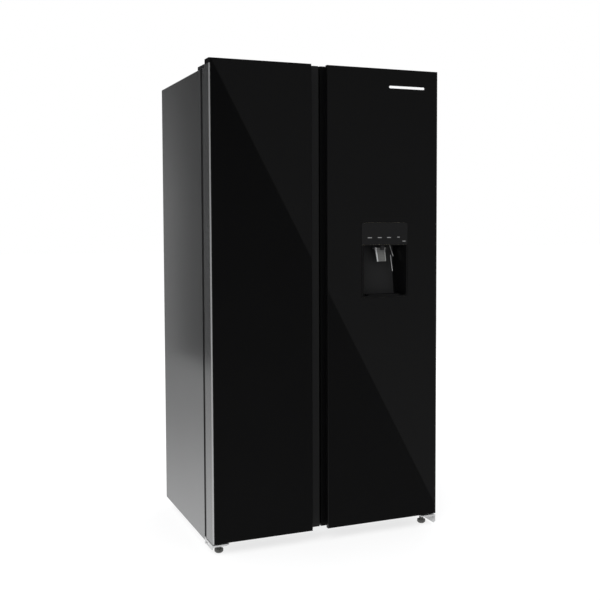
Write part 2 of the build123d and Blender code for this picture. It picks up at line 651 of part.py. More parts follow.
def dispenser_paddle():
    """Clear lever on a cross pin; it narrows and leans back towards its foot."""
    outline = make_face(Polyline((-21, -3), (21, -3), (18, 52), (-18, 52), close=True))
    outline = fillet(outline.vertices().sort_by(Axis.Y)[-2:], 5)
    plate = Rot(-90 + 9, 0, 0) * extrude(outline, 2, both=True)
    lever = plate + bar(4, (-22, 0, 0), (22, 0, 0))
    lever += bar(2, (-29.5, 0, 0), (-21, 0, 0)) + bar(2, (21, 0, 0), (29.5, 0, 0))
    return Pos(DISPENSER_MID, PADDLE_Y, PADDLE_Z) * lever


def dispenser_nozzle():
    """Spout over the glass, and the tube from the tank through the door."""
    x = DISPENSER_MID
    spout = bar(7.8, (x, SPOUT_Y, RECESS_Z[1] - 18), (x, SPOUT_Y, TUBE_Z + 7))
    spout = chamfer(spout.edges().group_by(Axis.Z)[0], 1.5)
    tube = bar(7.4, (x, SPOUT_Y, TUBE_Z), (x, DOOR_REAR + 4, TUBE_Z))
    return spout + tube - bar(3, (x, SPOUT_Y, RECESS_Z[1] - 20), (x, SPOUT_Y, RECESS_Z[1] - 8))


def drip_grille():
    """Slotted plate on the recess floor."""
    y = (GLASS_Y + 6, GLASS_Y + 40)
    x = (RECESS_X[0] + 24, RECESS_X[1] - 24)
    plate = round_upright(block(x, y, (RECESS_Z[0], RECESS_Z[0] + 5)), 6)
    for index in range(11):
        slot = x[0] + 12 + index * (x[1] - x[0] - 24) / 10
        plate -= block((slot - 2.2, slot + 2.2), (y[0] + 5, y[1] - 5), (RECESS_Z[0] + 1.5, RECESS_Z[0] + 6))
    return plate


def water_tank():
    """Clear tank on the inside of the door, with a filler mouth and an outlet on the tube."""
    y = (DOOR_REAR + 4, DOOR_REAR + 1 + BIN_DEPTH)
    tank = block(TANK_X, y, TANK_Z)
    tank = fillet(tank.edges().filter_by(Axis.Z).group_by(Axis.Y)[-1], 18)
    hollow = block((TANK_X[0] + 3, TANK_X[1] - 3), (y[0] + 3, y[1] - 3), (TANK_Z[0] + 3, TANK_Z[1] - 3))
    hollow = fillet(hollow.edges().filter_by(Axis.Z).group_by(Axis.Y)[-1], 15)
    mouth = block((DISPENSER_MID - 57, DISPENSER_MID + 53), (LID_Y[0] + 8, LID_Y[1] - 2), (1150, 1300))
    ears = None
    for ear_x in (DISPENSER_MID - 66, DISPENSER_MID + 62):
        ear = block((ear_x - 2, ear_x + 2), (LID_Y[0] - 5, LID_Y[0] + 5), (TANK_Z[1] - 1, TANK_Z[1] + 9))
        ear = fillet(ear.edges().filter_by(Axis.X).group_by(Axis.Z)[-1], 4)
        ears = ear if ears is None else ears + ear
    axle_z = TANK_Z[1] + 4
    axle = bar(2.06, (DISPENSER_MID - 80, LID_Y[0], axle_z), (DISPENSER_MID + 80, LID_Y[0], axle_z))
    return tank - hollow - round_upright(mouth, 8) + ears - axle


def tank_lid():
    """Filler flap of the tank, hinged along its rear edge."""
    x = (DISPENSER_MID - 62, DISPENSER_MID + 58)
    z = TANK_Z[1] + 4
    flap = block(x, (LID_Y[0], LID_Y[1] + 4), (TANK_Z[1] + 0.6, TANK_Z[1] + 3.6))
    flap = fillet(flap.edges().filter_by(Axis.Z).group_by(Axis.Y)[-1], 6)
    flap += bar(3.2, (x[0], LID_Y[0], z), (x[1], LID_Y[0], z))
    tab = block((DISPENSER_MID - 20, DISPENSER_MID + 16), (LID_Y[1], LID_Y[1] + 9),
                (TANK_Z[1] + 1.6, TANK_Z[1] + 3.6))
    return flap + tab + bar(2, (x[0] - 6, LID_Y[0], z), (x[1] + 6, LID_Y[0], z))


def badge_bar():
    """Plain metal badge near the top of the right door."""
    badge = block((245, 395), (FRONT, GLASS_Y), (1689, 1698))
    badge = fillet(badge.edges().filter_by(Axis.Y), 4.4)
    return chamfer(badge.edges().group_by(Axis.Y)[0], 0.4)


# ---- Hinges and feet ----

def upper_hinge(side):
    """Steel bracket screwed to the cabinet top, with the pin pressed into its arm."""
    x = side * HINGE_X
    top = (CABINET_TOP, CABINET_TOP + BRACKET_T)
    plate = round_upright(block((side * 384, side * 449), (-229, -198), top), 6)
    arm = block((x - 9, x + 9), (HINGE_Y, -210), top) + bar(9, (x, HINGE_Y, top[0]), (x, HINGE_Y, top[1]))
    pin = bar(PIN_R, (x, HINGE_Y, POCKET_FLOOR - 29), (x, HINGE_Y, top[1]))
    pin = chamfer(pin.edges().group_by(Axis.Z)[0], 1)
    return plate + arm + pin - screw_holes()


def hinge_cover(side):
    """Moulded cap over the bracket, with a rounded nose over the arm."""
    x = side * HINGE_X

    def cap(wall, low, high):
        body = block((side * (379 + wall), side * (454 - wall)), (-232 + wall, -194 - wall), (low, high))
        nose = block((x - 12 + wall, x + 12 - wall), (HINGE_Y, -215), (low, high))
        nose += bar(12 - wall, (x, HINGE_Y, low), (x, HINGE_Y, high))
        return round_upright(body, 4) + nose

    skin = cap(0, CABINET_TOP, CABINET_TOP + 11)
    skin = chamfer(skin.edges().group_by(Axis.Z)[-1], 1.2)
    return skin - cap(2, CABINET_TOP - 1, CABINET_TOP + 9)


def lower_hinge(side):
    """Folded steel bracket on the cabinet front, with the lower pin and the thread of the foot."""
    x = side * HINGE_X
    y = (GLASS_Y + 6, FACE)
    outer, inner = side * 455, side * 393
    plate = block((inner, outer), y, (38, 42)) + block((inner, outer), (FACE - 3, FACE), (20, 46))
    skirt = block((outer, outer - side * 3), y, (SKIRT_LOW[side], 42))
    skirt = chamfer(skirt.edges().filter_by(Axis.X).group_by(Axis.Z)[0], 10)
    skirt -= block((outer + side, outer - side * 4), *SKIRT_SLOT)
    lip = block((inner + side * 8, outer), (y[0], y[0] + 3), (36, 42))
    pin = bar(9, (x, HINGE_Y, 42), (x, HINGE_Y, 47.4))
    pin += bar(PIN_R, (x, HINGE_Y, 38), (x, HINGE_Y, DOOR_BOTTOM + 30))
    foot_x, foot_y = side * FOOT[0], FOOT[1]
    return plate + skirt + lip + pin - bar(5.08, (foot_x, foot_y, 30), (foot_x, foot_y, 44))


def foot(side):
    """Levelling foot: a pad with a grooved rim, tapered below, on a threaded stud."""
    x, y = side * FOOT[0], FOOT[1]
    radius, height = FOOT_PAD
    pad = bar(radius, (x, y, 0), (x, y, height))
    pad = chamfer(pad.edges().group_by(Axis.Z)[0], 5)
    for index in range(12):
        angle = math.radians(30 * index)
        at = (x + (radius + 1.5) * math.cos(angle), y + (radius + 1.5) * math.sin(angle))
        pad -= bar(2.4, (*at, 7), (*at, height + 2))
    return pad + bar(8, (x, y, height), (x, y, 24)) + bar(5, (x, y, height), (x, y, 46))


# ---- Write every sub-part ----

save("cabinet_shell", cabinet_shell())
save("back_panel", back_panel())
save("cabinet_foam", cabinet_foam())
save("freezer_liner", liner(FREEZER_ROOM, (FLANGE - SIDE, STRIP[0])))
save("fridge_liner", liner(FRIDGE_ROOM, (STRIP[1], SIDE - FLANGE)))
save("front_frame", front_frame())
save("base_tray", base_tray())
save("machine_cover", machine_cover())
save("cord_gland", cord_gland())
save("screws", *screws())

save("compressor", compressor())
save("condenser_coil", fin_coil((125, 395), (205, 265), (64, 214), 6, 22, 4))
save("fan_shroud", fan_shroud())
save("condenser_fan", fan_rotor((73, *CONDENSER_FAN), (1, 0, 0), 20, 60, 12))
save("drain_tray", drain_tray())
save("evaporator_coil", fin_coil((-376, -80), (214, 262), (560, 900), 8, 24, 4))
save("evaporator_fan", fan_rotor((EVAPORATOR_FAN[0], 213, EVAPORATOR_FAN[1]), (0, 1, 0), 18, 56, 12))
save("air_ducts", *air_ducts())
save("ceiling_lights", *ceiling_lights())

trims = []
for room, room_name in ((FREEZER_ROOM, "freezer"), (FRIDGE_ROOM, "fridge")):
    for number, level in enumerate(SHELF_Z, 1):
        save(f"{room_name}_shelf_{number}", glass_shelf(room, level))
    for level in (*SHELF_Z, COVER_Z):
        trims += shelf_trim(room, level)
save("shelf_trims", *trims)
save("drawer_covers", *[glass_shelf(room, COVER_Z) for room in (FREEZER_ROOM, FRIDGE_ROOM)])

save("freezer_drawer_upper", drawer(FREEZER_ROOM, UPPER_DRAWER_Z, AIR_COVER_Y - 14))
save("freezer_drawer_lower", drawer(FREEZER_ROOM, LOWER_DRAWER_Z, ROOM_STEP[0] - 10))
save("crisper_upper", drawer(FRIDGE_ROOM, UPPER_DRAWER_Z, ROOM_BACK - 16))
save("crisper_lower", drawer(FRIDGE_ROOM, LOWER_DRAWER_Z, ROOM_STEP[0] - 10))

for door, levels in ((LEFT, LEFT_BIN_Z), (RIGHT, RIGHT_BIN_Z)):
    save(f"{door.name}_glass", door_glass(door))
    save(f"{door.name}_shell", door_shell(door))
    save(f"{door.name}_core", door_core(door))
    save(f"{door.name}_liner", door_liner(door))
    save(f"{door.name}_gasket", door_gasket(door))
    save(f"{door.name}_bins", *[door_bin(door, level) for level in levels])

save("dispenser_fascia", dispenser_fascia())
save("dispenser_housing", dispenser_housing())
save("dispenser_paddle", dispenser_paddle())
save("dispenser_nozzle", dispenser_nozzle())
save("drip_grille", drip_grille())
save("water_tank", water_tank())
save("tank_lid", tank_lid())
save("badge_bar", badge_bar())

for side, side_name in ((-1, "left"), (1, "right")):
    save(f"upper_hinge_{side_name}", upper_hinge(side))
    save(f"lower_hinge_{side_name}", lower_hinge(side))
    save(f"foot_{side_name}", foot(side))
    save(f"roller_{side_name}", roller(side))
save("hinge_covers", hinge_cover(-1), hinge_cover(1))
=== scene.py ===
"""Side by side refrigerator: finishes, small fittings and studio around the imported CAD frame."""

import math

import bmesh
import bpy
from mathutils import Euler, Matrix, Vector


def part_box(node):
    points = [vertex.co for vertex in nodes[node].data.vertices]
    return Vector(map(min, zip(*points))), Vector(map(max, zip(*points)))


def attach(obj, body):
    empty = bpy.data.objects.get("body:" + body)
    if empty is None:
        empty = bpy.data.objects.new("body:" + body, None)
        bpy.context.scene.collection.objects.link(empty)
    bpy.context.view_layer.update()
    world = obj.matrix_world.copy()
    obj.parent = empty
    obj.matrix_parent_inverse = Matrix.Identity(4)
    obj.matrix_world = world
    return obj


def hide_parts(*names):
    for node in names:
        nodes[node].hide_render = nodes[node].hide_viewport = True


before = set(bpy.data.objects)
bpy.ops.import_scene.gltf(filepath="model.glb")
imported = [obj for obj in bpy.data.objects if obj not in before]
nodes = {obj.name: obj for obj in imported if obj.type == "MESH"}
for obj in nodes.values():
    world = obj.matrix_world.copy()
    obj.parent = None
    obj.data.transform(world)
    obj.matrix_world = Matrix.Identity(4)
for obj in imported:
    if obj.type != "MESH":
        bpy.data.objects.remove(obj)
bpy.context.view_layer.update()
bpy.ops.object.select_all(action="DESELECT")


# ---- Steel wrap of the cabinet ----
# One sheet of coated steel is folded over both sides and the top. Its satin grey coat has a fine upright
# grain, like brushed stainless steel, so it mirrors the room only softly.

class Flow:
    """A socket of a shader tree, which can be used in sums like a number."""

    def __init__(self, tree, socket=None):
        self.tree, self.socket = tree, socket

    def node(self, kind, inputs=None, output=0, stops=None, **settings):
        """Add a node, with its settings first and then the values or links of its sockets."""
        made = self.tree.nodes.new("ShaderNode" + kind)
        for name, value in settings.items():
            setattr(made, name, value)
        for index, (place, colour) in enumerate(stops or []):
            ramp = made.color_ramp.elements
            stop = ramp[index] if index < 2 else ramp.new(place)
            stop.position, stop.color = place, (*colour, 1)
        for name, value in (inputs or {}).items():
            port = made.inputs[name]
            if isinstance(value, Flow):
                self.tree.links.new(value.socket, port)
            elif isinstance(value, tuple) and port.type == "RGBA":
                port.default_value = (*value, 1)
            else:
                port.default_value = value
        return Flow(self.tree, made.outputs[output]) if made.outputs else None

    def maths(self, operation, one, two=0.0):
        return self.node("Math", {0: one, 1: two}, operation=operation)

    def __add__(self, other):
        return self.maths("ADD", self, other)

    def __sub__(self, other):
        return self.maths("SUBTRACT", self, other)

    def __rsub__(self, other):
        return self.maths("SUBTRACT", other, self)

    def __mul__(self, other):
        return self.maths("MULTIPLY", self, other)

    def __gt__(self, other):
        return self.maths("GREATER_THAN", self, other)

    def __lt__(self, other):
        return self.maths("LESS_THAN", self, other)

    __radd__, __rmul__ = __add__, __mul__

    def place(self, stretch=(1, 1, 1)):
        """Where a point is on the object, stretched along the axes, in metres."""
        return self.node("Mapping", {"Vector": self.node("TexCoord", output="Object"), "Scale": stretch})

    def along(self, axis):
        """One coordinate of this vector."""
        return self.node("SeparateXYZ", {"Vector": self}, output=axis)

    def noise(self, where, scale, detail=2.0):
        return self.node("TexNoise", {"Vector": where, "Scale": scale, "Detail": detail})

    def blend(self, factor, one, two):
        """A colour between two colours."""
        return self.node("Mix", {0: factor, 6: one, 7: two}, output=2, data_type="RGBA")

    def bump(self, height, strength, distance):
        return self.node("Bump", {"Height": height, "Strength": strength, "Distance": distance})


def finish(name, recipe):
    """A material. The recipe gives the values and links of its surface shader."""
    made = bpy.data.materials.new(name)
    made.use_nodes = True
    made.node_tree.nodes.clear()
    start = Flow(made.node_tree)
    start.node("OutputMaterial", {"Surface": start.node("BsdfPrincipled", recipe(start))})
    return made


def dress(material, *names):
    """Give CAD nodes one finish all over."""
    for name in names:
        nodes[name].data.materials.clear()
        nodes[name].data.materials.append(material)


def steel_recipe(start):
    grain = start.noise(start.place((1, 1, 0.006)), 1400, 3)
    cloud = start.noise(start.place(), 3.5)
    return {
        "Base Color": start.blend(cloud * 0.5 + grain * 0.5, (0.46, 0.465, 0.47), (0.55, 0.555, 0.56)),
        "Metallic": 0.95,
        "Roughness": 0.16 + grain * 0.08 + cloud * 0.03,
        "Normal": start.bump(grain, 0.10, 0.0002),
    }


satin_steel = finish("satin_steel", steel_recipe)
dress(satin_steel, "cabinet_shell")


# ---- Front edge of the cabinet ----
# The wrap turns in behind the doors, and a strip and a rail join its two sides. This frame, which the seals
# close on, is sprayed charcoal. On the wrap's front edge the charcoal is also painted shade, standing in
# for the shade in the gap behind the doors.

def charcoal_recipe(start):
    spark = start.noise(start.place(), 1800)
    return {
        "Base Color": start.blend(spark, (0.0075, 0.0075, 0.0078), (0.0125, 0.0125, 0.0130)),
        "Metallic": 0.1,
        "Roughness": 0.42 + spark * 0.1,
        "Normal": start.bump(spark, 0.15, 0.0002),
    }


charcoal = finish("charcoal_paint", charcoal_recipe)
dress(charcoal, "front_frame")
wrap = nodes["cabinet_shell"].data
wrap.materials.append(charcoal)
WRAP_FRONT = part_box("cabinet_shell")[0].y
SHADED_FLANGE_DEPTH = 0.004
# The front faces of the wrap's edge take the charcoal, partly as painted shade for the gap behind the
# doors.
for face in wrap.polygons:
    if face.normal.y < -0.3 and face.center.y < WRAP_FRONT + SHADED_FLANGE_DEPTH:
        face.material_index = 1


# ---- Back panel, machine room cover and base tray ----
# Galvanised sheet: the zinc has set in flat crystals, each with its own tone and gloss. The tray is left
# bare, and the panel and the louvred cover are painted over in grey.

def zinc_recipe(start):
    where = start.place()
    crystal = start.node("TexVoronoi", {"Vector": where, "Scale": 140.0}, output="Color")
    tone = start.node("SeparateColor", {"Color": crystal})
    scuff = start.noise(where, 60, 4)
    return {
        "Base Color": start.blend(tone * 0.7 + scuff * 0.3, (0.58, 0.59, 0.60), (0.80, 0.81, 0.82)),
        "Metallic": 0.92,
        "Roughness": 0.24 + tone * 0.12 + scuff * 0.10,
        "Normal": start.bump(scuff, 0.12, 0.0004),
    }


def panel_recipe(start):
    where = start.place()
    peel = start.noise(where, 700, 2)
    dust = start.noise(where, 5, 5)
    return {
        "Base Color": start.blend(dust, (0.16, 0.163, 0.168), (0.22, 0.223, 0.228)),
        "Metallic": 0.25,
        "Roughness": 0.42 + dust * 0.16,
        "Normal": start.bump(peel, 0.18, 0.0003),
    }


zinc = finish("zinc", zinc_recipe)
dress(zinc, "base_tray")
dress(finish("painted_sheet", panel_recipe), "back_panel", "machine_cover")


# ---- Hinge brackets and levelling feet ----
# The four brackets are pressed from thick steel and plated bright. The feet that screw into the lower two
# are dark zinc castings with a rough skin.

def plated_recipe(start):
    scuff = start.noise(start.place(), 90, 4)
    return {
        "Base Color": start.blend(scuff, (0.62, 0.625, 0.63), (0.86, 0.86, 0.86)),
        "Metallic": 0.45,
        "Roughness": 0.24 + scuff * 0.14,
        "Normal": start.bump(scuff, 0.10, 0.0003),
    }


def cast_recipe(start):
    pits = start.noise(start.place(), 260, 4)
    return {
        "Base Color": start.blend(pits, (0.05, 0.05, 0.047), (0.26, 0.26, 0.25)),
        "Metallic": 0.6,
        "Roughness": 0.35 + pits * 0.25,
        "Normal": start.bump(pits, 0.5, 0.0008),
    }


plated = finish("bright_plate", plated_recipe)
dress(plated, "upper_hinge_left", "upper_hinge_right", "lower_hinge_left", "lower_hinge_right")
dress(finish("cast_zinc", cast_recipe), "foot_left", "foot_right")


# ---- Machine room ----
# A black enamelled compressor on rubber feet, a bare aluminium condenser with its fan, and a melt-water
# tray in satin black plastic. They are seen only through the louvres.

def enamel_recipe(start):
    peel = start.noise(start.place(), 260, 2)
    return {
        "Base Color": start.blend(peel, (0.010, 0.010, 0.011), (0.022, 0.022, 0.023)),
        "Roughness": 0.22 + peel * 0.10,
        "Coat Weight": 0.4,
        "Normal": start.bump(peel, 0.15, 0.0004),
    }


def coil_recipe(start):
    stain = start.noise(start.place(), 30, 5)
    return {
        "Base Color": start.blend(stain, (0.55, 0.56, 0.57), (0.78, 0.79, 0.80)),
        "Metallic": 0.95,
        "Roughness": 0.28 + stain * 0.22,
        "Normal": start.bump(stain, 0.1, 0.0004),
    }


def black_plastic_recipe(start):
    spark = start.noise(start.place(), 2200, 2)
    wear = start.noise(start.place(), 12, 4)
    return {
        "Base Color": start.blend(wear, (0.010, 0.010, 0.011), (0.020, 0.020, 0.021)),
        "Roughness": 0.40 + spark * 0.12 + wear * 0.06,
        "Normal": start.bump(spark, 0.20, 0.0002),
    }


black_plastic = finish("black_plastic", black_plastic_recipe)
dress(finish("black_enamel", enamel_recipe), "compressor")
dress(finish("bare_aluminium", coil_recipe), "condenser_coil", "evaporator_coil")
dress(black_plastic, "fan_shroud", "condenser_fan", "evaporator_fan", "drain_tray", "hinge_covers")


# ---- Rubber: rollers, cord grommet and door seals ----
# Moulded black elastomer with a dull bloom. The seals are dark grey and a little smoother.

def rubber_recipe(start):
    bloom = start.noise(start.place(), 45, 5)
    return {
        "Base Color": start.blend(bloom, (0.016, 0.016, 0.017), (0.040, 0.040, 0.041)),
        "Roughness": 0.55 + bloom * 0.2,
        "Normal": start.bump(bloom, 0.15, 0.0005),
    }


def seal_recipe(start):
    bloom = start.noise(start.place(), 90, 3)
    return {
        "Base Color": start.blend(bloom, (0.030, 0.031, 0.032), (0.052, 0.053, 0.055)),
        "Roughness": 0.38 + bloom * 0.12,
        "Normal": start.bump(bloom, 0.12, 0.0004),
    }


dress(finish("moulded_rubber", rubber_recipe), "roller_left", "roller_right", "cord_gland")
dress(finish("seal_rubber", seal_recipe), "left_door_gasket", "right_door_gasket")


# ---- Foam fill ----
# Rigid polyurethane foam, poured between the walls of the cabinet and the doors. It is cream with fine
# cells.

def foam_recipe(start):
    where = start.place()
    cells = start.node("TexVoronoi", {"Vector": where, "Scale": 450.0})
    tint = start.noise(where, 20, 4)
    return {
        "Base Color": start.blend(tint, (0.78, 0.69, 0.45), (0.88, 0.81, 0.60)),
        "Roughness": 0.9,
        "Normal": start.bump(cells, 0.4, 0.001),
    }


dress(finish("cream_foam", foam_recipe), "cabinet_foam", "left_door_core", "right_door_core")


# ---- White liners and air covers ----
# Vacuum-formed high-impact polystyrene: glossy white with a faint orange peel from the forming.

def liner_recipe(start):
    where = start.place()
    peel = start.noise(where, 230, 2)
    tint = start.noise(where, 4, 2)
    return {
        "Base Color": start.blend(tint, (0.71, 0.725, 0.735), (0.77, 0.78, 0.785)),
        "Roughness": 0.24 + peel * 0.08,
        "Normal": start.bump(peel, 0.12, 0.0004),
    }


dress(finish("white_liner", liner_recipe), "freezer_liner", "fridge_liner", "left_door_liner",
      "right_door_liner", "air_ducts")


# ---- Ceiling lights ----
# Opal plastic covers over a row of diodes, clipped in the ceiling of each compartment.

def opal_recipe(start):
    diodes = start.noise(start.place(), 40, 1)
    return {
        "Base Color": start.blend(diodes, (0.90, 0.91, 0.92), (0.97, 0.97, 0.96)),
        "Roughness": 0.35,
        "Emission Color": start.blend(diodes, (0.86, 0.90, 0.95), (1.0, 1.0, 0.98)),
        "Emission Strength": 0.9,
    }


dress(finish("opal_light", opal_recipe), "ceiling_lights")


# ---- Glass shelves and their trims ----
# Tempered clear glass, a little green in its edges, with light grey trims clipped on front and rear.

def clear_glass_recipe(start):
    haze = start.noise(start.place(), 25, 3)
    return {
        "Base Color": start.blend(haze, (0.86, 0.93, 0.91), (0.90, 0.96, 0.94)),
        "Roughness": 0.01 + haze * 0.03,
        "Transmission Weight": 1.0,
        "IOR": 1.5,
    }


def trim_recipe(start):
    peel = start.noise(start.place(), 600, 2)
    return {
        "Base Color": start.blend(peel, (0.60, 0.615, 0.63), (0.68, 0.69, 0.70)),
        "Metallic": 0.25,
        "Roughness": 0.30 + peel * 0.10,
        "Normal": start.bump(peel, 0.10, 0.0003),
    }


dress(finish("shelf_glass", clear_glass_recipe), "freezer_shelf_1", "freezer_shelf_2", "freezer_shelf_3",
      "fridge_shelf_1", "fridge_shelf_2", "fridge_shelf_3", "drawer_covers")
dress(finish("shelf_trim", trim_recipe), "shelf_trims")


# ---- Drawers, door bins, water tank and its flap ----
# Clear moulded polystyrene, faintly blue, with flow marks from the mould. All of it lifts out.

def clear_plastic_recipe(start):
    flow = start.noise(start.place((6, 6, 1)), 4, 3)
    facing = start.node("LayerWeight", {"Blend": 0.35}, output="Facing")
    return {
        "Base Color": start.blend(flow, (0.80, 0.87, 0.92), (0.88, 0.93, 0.96)),
        "Roughness": 0.06 + flow * 0.06,
        "Alpha": 0.30 + facing * 0.45,
        "Normal": start.bump(flow, 0.05, 0.001),
    }


dress(finish("clear_plastic", clear_plastic_recipe), "freezer_drawer_upper", "freezer_drawer_lower",
      "crisper_upper", "crisper_lower", "left_door_bins", "right_door_bins", "water_tank", "tank_lid")


# ---- Glass door fronts ----
# Flat tempered glass, printed solid black on the back and bonded to the door. Only the front face
# mirrors.

def black_glass_recipe(start):
    haze = start.noise(start.place(), 6, 3)
    return {
        "Base Color": start.blend(haze, (0.0013, 0.0013, 0.0014), (0.0018, 0.0018, 0.0019)),
        "Roughness": 0.012 + haze * 0.012,
        "IOR": 1.5,
    }


dress(finish("black_glass", black_glass_recipe), "left_door_glass", "right_door_glass")


# ---- Door casings ----
# A steel-coated side with a black strip along its rear, a chamfered edge beside the glass, and black caps.
# The black strip is painted shade for the gap behind the door.
# The freezer door has a bright edge and a charcoal finger channel; the fridge door has both in gloss black,
# which is painted shade standing in for the shade along that edge and in that channel.

def bright_edge_recipe(start):
    lines = start.noise(start.place((1, 1, 0.01)), 1500, 2)
    return {
        "Base Color": start.blend(lines, (0.72, 0.725, 0.73), (0.84, 0.845, 0.85)),
        "Metallic": 0.9,
        "Roughness": 0.24 + lines * 0.1,
        "Normal": start.bump(lines, 0.08, 0.0002),
    }


def gloss_black_recipe(start):
    peel = start.noise(start.place(), 500, 2)
    return {
        "Base Color": start.blend(peel, (0.0020, 0.0020, 0.0021), (0.0036, 0.0036, 0.0038)),
        "Roughness": 0.20 + peel * 0.08,
        "Normal": start.bump(peel, 0.06, 0.0002),
    }


def capped_and_shaded(recipe):
    """A finish that gives way to the black cap on top of a door and to a black strip along its rear, which
    is painted shade for the gap behind the door.
    """
    def with_cap_and_shade_strip(start):
        values = recipe(start)
        above = start.place().along("Z") > CAP_LEVEL
        # Painted shade: a black strip along the rear of the door side, for the gap behind it.
        in_shade_strip = start.place().along("Y") > SHADE_STRIP_START
        # The mask joins the real black cap and the painted shade strip.
        cap = start.maths("MAXIMUM", above, in_shade_strip)
        values["Base Color"] = start.blend(cap, values["Base Color"], (0.003, 0.003, 0.0032))
        values["Metallic"] = (1 - cap) * values["Metallic"]
        return values
    return with_cap_and_shade_strip


CAP_HEIGHT, SHADE_STRIP_WIDTH = 0.018, 0.008
CAP_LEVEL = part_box("left_door_shell")[1].z - CAP_HEIGHT
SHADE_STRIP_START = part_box("left_door_shell")[1].y - SHADE_STRIP_WIDTH
bright_edge = finish("bright_edge", capped_and_shaded(bright_edge_recipe))
door_side = finish("door_side", capped_and_shaded(steel_recipe))
gloss_black = finish("gloss_black", gloss_black_recipe)
DOOR_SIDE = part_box("right_door_shell")[1].x
EDGE_WIDTH, SIDE_SKIN, CHANNEL_REACH = 0.008, 0.001, 0.10


def casing_part(middle, normal):
    """Which finish a face of a door casing has: 0 steel side, 1 edge, 2 black cap, 3 channel."""
    if abs(normal.x) > 0.3 and normal.y < -0.3 and abs(middle.x) > DOOR_SIDE - EDGE_WIDTH:
        return 1
    if abs(middle.x) > DOOR_SIDE - SIDE_SKIN and abs(normal.x) > 0.9:
        return 0
    if abs(middle.x) < CHANNEL_REACH and abs(normal.z) < 0.5:
        return 3
    return 2


# On the fridge door the gloss black edge and channel are painted shade: darker copies of the freezer door's
# bright edge and charcoal channel.
for side, edge, channel in (("left", bright_edge, charcoal), ("right", gloss_black, gloss_black)):
    casing = nodes[f"{side}_door_shell"].data
    casing.materials.clear()
    for material in (door_side, edge, gloss_black, channel):
        casing.materials.append(material)
    for face in casing.polygons:
        face.material_index = casing_part(face.center, face.normal)


# ---- Dispenser ----
# A gloss black touch panel over a moulded recess, whose back is satin black and whose frame and right cheek
# are polished and near black;
# on the right cheek the near black is painted shade of the recess. A spout hangs from its ceiling, and a
# slotted drip plate lies on its floor.

def touch_panel_recipe(start):
    haze = start.noise(start.place(), 300, 2)
    return {
        "Base Color": start.blend(haze, (0.0052, 0.0052, 0.0054), (0.0066, 0.0066, 0.0068)),
        "Roughness": 0.10 + haze * 0.04,
    }


def housing_recipe(start):
    spark = start.noise(start.place(), 1600, 2)
    satin = start.blend(spark, (0.0080, 0.0080, 0.0084), (0.0125, 0.0125, 0.0130))
    # Frame and right cheek are glossier and near black; on the right cheek the near black is painted shade
    # of the recess.
    shade_and_gloss = start.maths("MAXIMUM", start.place().along("X") > SHADED_CHEEK_X, start.place().along("Y") < FRAME_Y)
    return {
        "Base Color": start.blend(shade_and_gloss, satin, (0.0012, 0.0012, 0.0013)),
        "Roughness": 0.42 + spark * 0.1 - shade_and_gloss * 0.3,
        "Normal": start.bump(spark, 0.15, 0.0002),
    }


SHADED_CHEEK_X, FRAME_THICKNESS = 0.290, 0.003
FRAME_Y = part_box("dispenser_housing")[0].y + FRAME_THICKNESS
dress(finish("touch_panel", touch_panel_recipe), "dispenser_fascia")
dress(finish("dispenser_black", housing_recipe), "dispenser_housing")
dress(black_plastic, "dispenser_nozzle")
dress(gloss_black, "drip_grille")


# ---- Touch marks ----
# Five small plain marks are printed on the touch panel's face, one for each key, and carry no lettering.
# Each is a bar with round ends, given by its left end, its right end and its height above the floor.

def mark_recipe(start):
    ink = start.noise(start.place(), 900, 1)
    return {
        "Base Color": start.blend(ink, (0.14, 0.14, 0.14), (0.22, 0.22, 0.22)),
        "Roughness": 0.35,
    }


def open_box(name, low, high):
    """A cube primitive between two corners, left open for editing."""
    bpy.ops.mesh.primitive_cube_add(size=1, location=[(a + b) / 2 for a, b in zip(low, high)])
    piece = bpy.context.object
    piece.name = piece.data.name = name
    piece.scale = [b - a for a, b in zip(low, high)]
    bpy.ops.object.transform_apply(location=True, rotation=True, scale=True)
    bpy.ops.object.mode_set(mode="EDIT")
    return piece


def choose(piece, faces=None, edges=None):
    """Select only the faces, or the edges, that pass a test of their place and direction."""
    shape = bmesh.from_edit_mesh(piece.data)
    bpy.ops.mesh.select_mode(type="FACE" if faces else "EDGE")
    bpy.ops.mesh.select_all(action="DESELECT")
    if faces:
        for face in shape.faces:
            face.select_set(bool(faces(face.calc_center_median(), face.normal)))
    else:
        for edge in shape.edges:
            ends = [corner.co for corner in edge.verts]
            edge.select_set(bool(edges((ends[0] + ends[1]) / 2, (ends[1] - ends[0]).normalized())))
    bmesh.update_edit_mesh(piece.data)


def close_piece(piece, material, body, slot, *replaced):
    """Leave editing, point the faces outwards, and fix the piece to its body."""
    bpy.ops.mesh.select_all(action="SELECT")
    bpy.ops.mesh.normals_make_consistent(inside=False)
    bpy.ops.object.mode_set(mode="OBJECT")
    bpy.ops.object.shade_smooth_by_angle(angle=math.radians(35))
    piece.data.materials.append(material)
    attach(piece, body)
    if replaced:
        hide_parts(*replaced)
    bpy.ops.object.select_all(action="DESELECT")
    return piece


white_ink = finish("white_ink", mark_recipe)
FASCIA_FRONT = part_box("dispenser_fascia")[0].y
MARK_HEIGHT, MARK_PROUD, MARK_ROOT = 0.0032, 0.00005, 0.0002
KEY_MARKS = ((0.155, 0.173, 1.1310), (0.197, 0.214, 1.1310), (0.236, 0.253, 1.1310),
             (0.280, 0.291, 1.1320), (0.302, 0.316, 1.1165))
for index, (left, right, level) in enumerate(KEY_MARKS):
    mark = open_box(f"touch_mark_{index + 1}", (left, FASCIA_FRONT - MARK_PROUD, level - MARK_HEIGHT / 2),
                    (right, FASCIA_FRONT + MARK_ROOT, level + MARK_HEIGHT / 2))
    choose(mark, edges=lambda middle, along: abs(along.y) > 0.9)
    bpy.ops.mesh.bevel(offset=MARK_HEIGHT * 0.45, segments=3)
    close_piece(mark, white_ink, "right_door", "light_diffuser")


